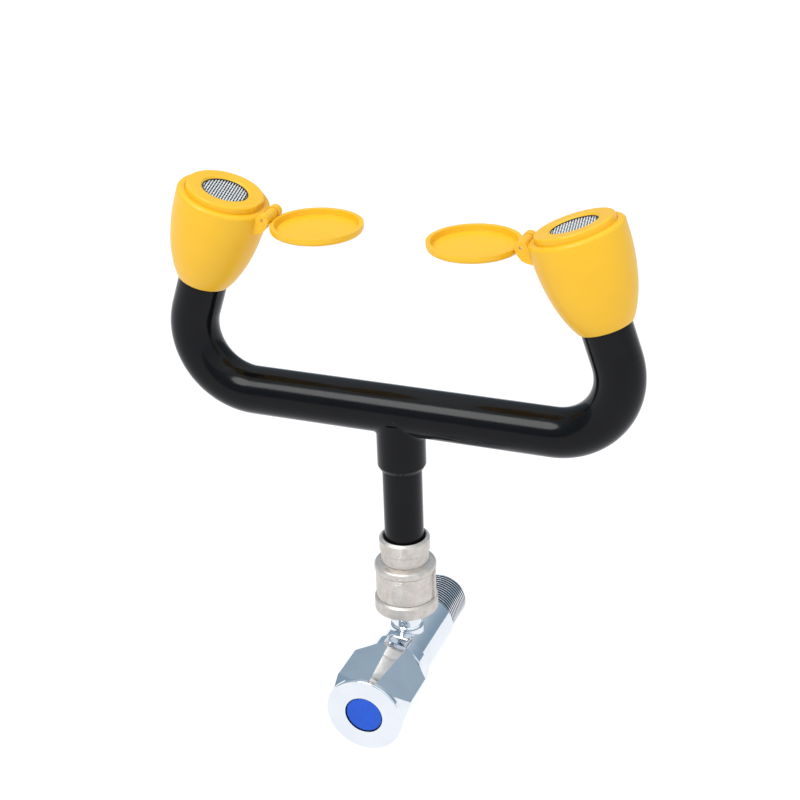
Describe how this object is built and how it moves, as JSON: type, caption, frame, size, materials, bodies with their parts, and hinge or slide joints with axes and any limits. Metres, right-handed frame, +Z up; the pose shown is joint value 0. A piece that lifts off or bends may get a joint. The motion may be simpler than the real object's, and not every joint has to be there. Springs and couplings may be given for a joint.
{
  "type": "eyewash station",
  "caption": "Wall-hung twin-head eyewash: yellow spray heads with flip caps on a black U-shaped tube, fed through a riser by a chrome angle stop valve.",
  "frame": {"origin": "centre of the inlet thread's root plane, on the valve's axis", "axes": "+X along the bar to the right seen from the front, +Y along the inlet thread into the wall, +Z up along the riser"},
  "size_m": [0.2388, 0.1143, 0.2675],
  "materials": {
    "black_coat": "glossy black powder coat on steel tube",
    "nickel_plate": "satin nickel plate on cast brass",
    "chrome_plate": "polished chrome plate",
    "yellow_plastic": "moulded yellow ABS, soft gloss",
    "blue_plastic": "glossy blue plastic",
    "stainless": "bright stainless wire and turned pins",
    "black_rubber": "black EPDM rubber",
    "white_plastic": "white moulded acetal",
    "bare_brass": "turned brass",
    "white_ceramic": "lapped alumina",
    "grey_foam": "open-cell filter foam"
  },
  "bodies": {
    "station": {"u_tube": "black_coat", "riser_boss": "black_coat", "riser_pipe": "black_coat", "threaded_ferrule": "bare_brass", "reducing_coupling": "nickel_plate", "outlet_gasket": "black_rubber", "outlet_nipple": "chrome_plate", "valve_body": "chrome_plate", "inlet_strainer": "white_plastic", "cartridge_body": "bare_brass", "cartridge_o_ring": "black_rubber", "seat_seal": "black_rubber", "fixed_ceramic_disc": "white_ceramic", "left_head_shell": "yellow_plastic", "left_spray_cup": "white_plastic", "left_tube_washer": "black_rubber", "left_flow_regulator": "white_plastic", "left_foam_filter": "grey_foam", "left_mesh_screen": "stainless", "left_face_ring": "yellow_plastic", "left_hinge_pin": "stainless", "right_head_shell": "yellow_plastic", "right_spray_cup": "white_plastic", "right_tube_washer": "black_rubber", "right_flow_regulator": "white_plastic", "right_foam_filter": "grey_foam", "right_mesh_screen": "stainless", "right_face_ring": "yellow_plastic", "right_hinge_pin": "stainless"},
    "handle": {"valve_handle": "chrome_plate", "handle_screw": "stainless", "index_button": "blue_plastic", "cartridge_spindle": "bare_brass", "spindle_o_ring": "black_rubber", "retaining_clip": "stainless", "moving_ceramic_disc": "white_ceramic"},
    "left_cap": {"left_dust_cap": "yellow_plastic"},
    "right_cap": {"right_dust_cap": "yellow_plastic"}
  },
  "joints": [
    {"name": "left_cap_hinge", "type": "hinge", "parent": "station", "child": "left_cap", "pos_m": [-0.06288, -0.03, 0.22897], "axis": [0, -1, 0], "range_deg": [0, 162]},
    {"name": "right_cap_hinge", "type": "hinge", "parent": "station", "child": "right_cap", "pos_m": [0.06288, -0.03, 0.22897], "axis": [0, 1, 0], "range_deg": [0, 162]},
    {"name": "handle_turn", "type": "hinge", "parent": "station", "child": "handle", "pos_m": [0, -0.06, 0], "axis": [0, -1, 0], "range_deg": [0, 90]}
  ]
}
